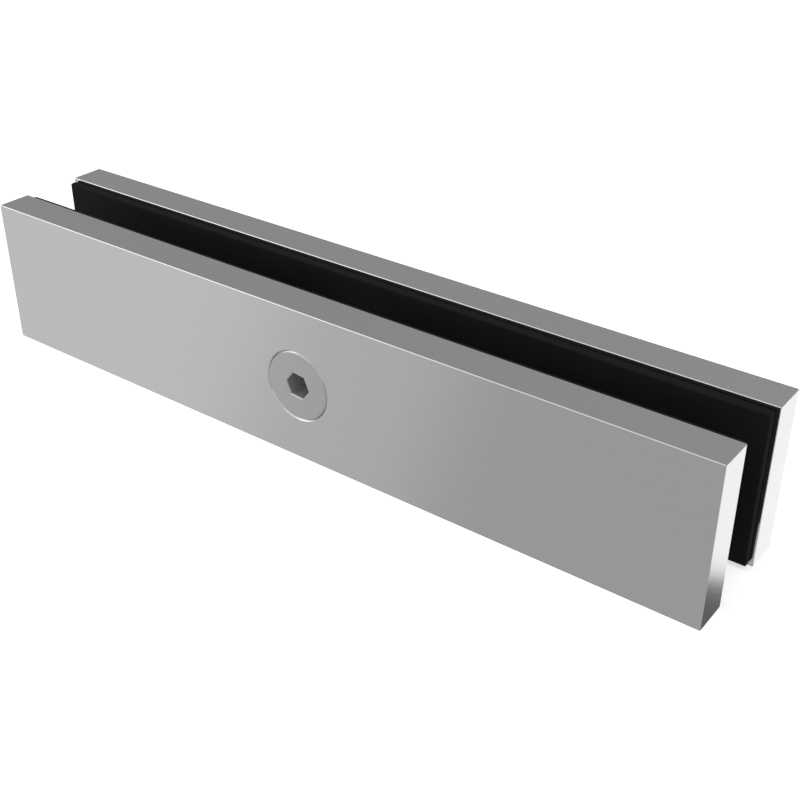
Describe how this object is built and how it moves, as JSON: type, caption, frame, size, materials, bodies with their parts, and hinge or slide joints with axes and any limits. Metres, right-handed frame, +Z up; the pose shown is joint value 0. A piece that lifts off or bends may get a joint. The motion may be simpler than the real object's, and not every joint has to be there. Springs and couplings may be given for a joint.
{
  "type": "glass clamp",
  "caption": "Flat metal bars with rubber pads that grip a pane of glass between them, drawn together by a flush countersunk screw.",
  "frame": {"origin": "under the middle of the clamp, on the surface that the lower edges of its two bars stand on", "axes": "+X along the bars, +Y from the front bar with the screw to the back bar, +Z up"},
  "size_m": [0.18, 0.03, 0.034],
  "materials": {
    "bar_steel": "fine satin-ground stainless steel",
    "pad_rubber": "matt black rubber",
    "screw_steel": "satin stainless steel",
    "sleeve_steel": "turned stainless steel",
    "bush_nylon": "natural nylon"
  },
  "bodies": {
    "back_half": {"back_plate": "bar_steel", "back_gasket": "pad_rubber", "threaded_sleeve": "sleeve_steel", "glass_bush": "bush_nylon"},
    "front_half": {"front_plate": "bar_steel", "front_gasket": "pad_rubber"},
    "screw": {"clamp_screw": "screw_steel"}
  },
  "joints": [
    {"name": "front_slide", "type": "slide", "parent": "back_half", "child": "front_half", "axis": [0, 1, 0], "range_m": [-0.002, 0.002]},
    {"name": "screw_turn", "type": "hinge", "parent": "front_half", "child": "screw", "pos_m": [0, -0.015, 0.017], "axis": [0, 1, 0], "range_deg": [-576, 576]}
  ],
  "couplings": [
    {"joint": "screw_turn", "follows": "front_slide", "rad_per_m": 5026.5}
  ]
}
